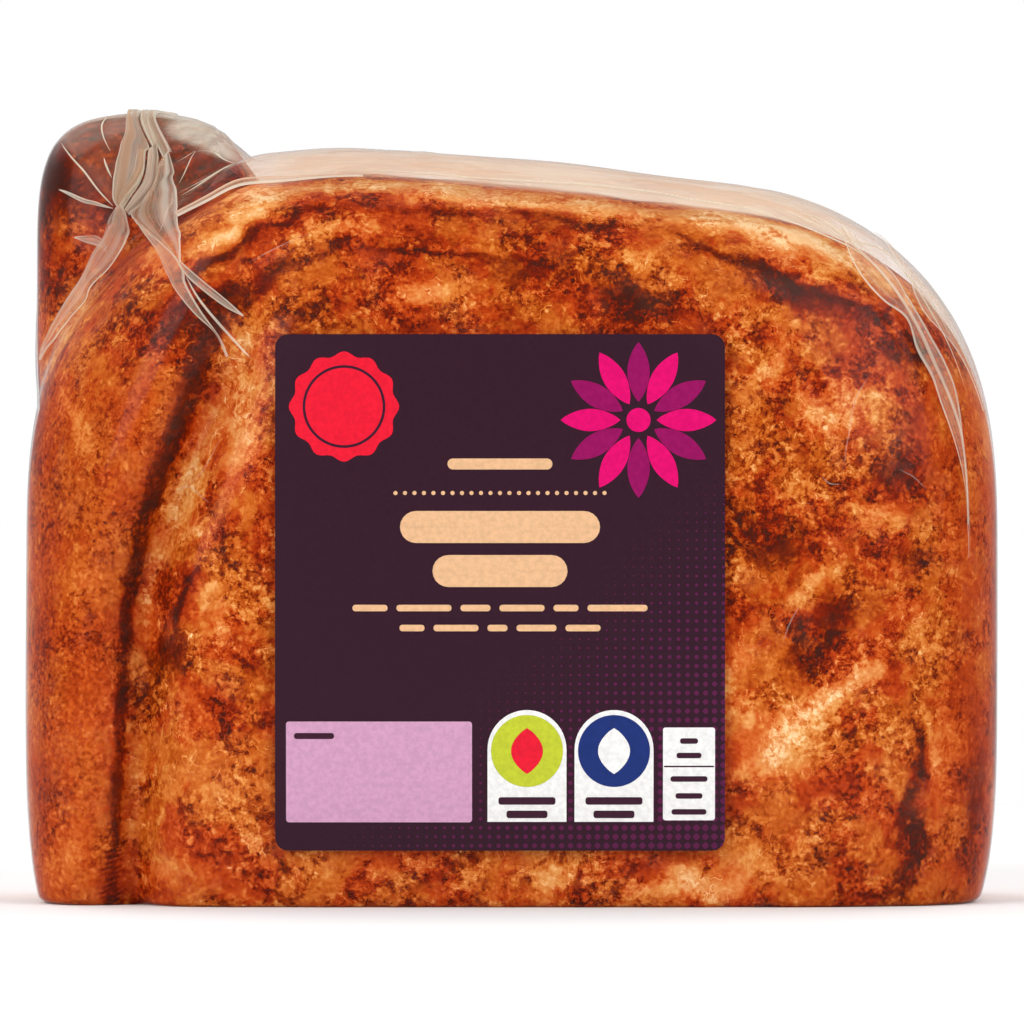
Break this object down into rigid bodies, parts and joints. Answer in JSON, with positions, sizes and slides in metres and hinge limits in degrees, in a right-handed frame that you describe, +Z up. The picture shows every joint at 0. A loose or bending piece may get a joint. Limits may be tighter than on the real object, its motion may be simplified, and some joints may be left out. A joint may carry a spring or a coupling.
{
  "type": "bagged glazed ham joint",
  "caption": "Boneless honey-glazed ham joint in a tight clear film bag, cut flat to stand, with an upright roll of rind at the left, a gathered film knot above it and a blank dark label.",
  "frame": {"origin": "on the flat resting face, under the middle of the ham's width and depth", "axes": "+X to the right along the ham's length, +Y to the back, +Z up; the labelled front faces -Y"},
  "size_m": [0.1988, 0.1047, 0.1625],
  "materials": {
    "glazed_ham": "mottled honey glaze from pale tan to red-brown with dark specks and flow streaks, wet gloss under clear film",
    "clear_film": "thin clear vacuum film, glossy, whitish where it is gathered, folded or seen edge on",
    "label_paper": "coated dark plum paper, satin",
    "label_print": "printed fields of gold, magenta, lilac, red and white, satin"
  },
  "bodies": {
    "root": {"bagged_ham": "glazed_ham", "label": "label_paper"}
  },
  "joints": []
}
